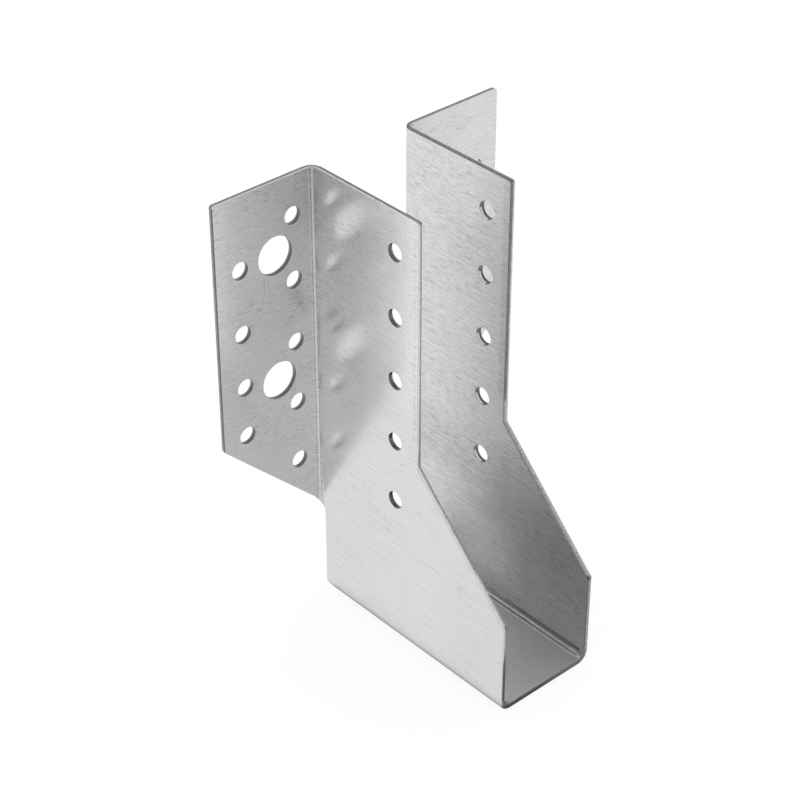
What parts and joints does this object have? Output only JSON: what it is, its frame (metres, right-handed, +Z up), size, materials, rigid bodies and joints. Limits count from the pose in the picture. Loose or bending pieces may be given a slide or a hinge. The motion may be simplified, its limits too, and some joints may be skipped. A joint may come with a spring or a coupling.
{
  "type": "joist hanger",
  "caption": "Face-fix joist hanger folded from one strip of galvanised sheet: a seat and two walls hold the joist, two outward flanges nail or bolt to the header.",
  "frame": {"origin": "under the seat, at the middle of the hanger's width and depth", "axes": "+Z up along the walls, +Y towards the header beam that the backs of the flanges stand against, X across the joist, so the joist lies along Y"},
  "size_m": [0.0972, 0.0748, 0.136],
  "materials": {
    "galvanised_sheet": "zinc coated sheet with a fine rolled grain, half matt"
  },
  "bodies": {
    "root": {"hanger": "galvanised_sheet"}
  },
  "joints": []
}
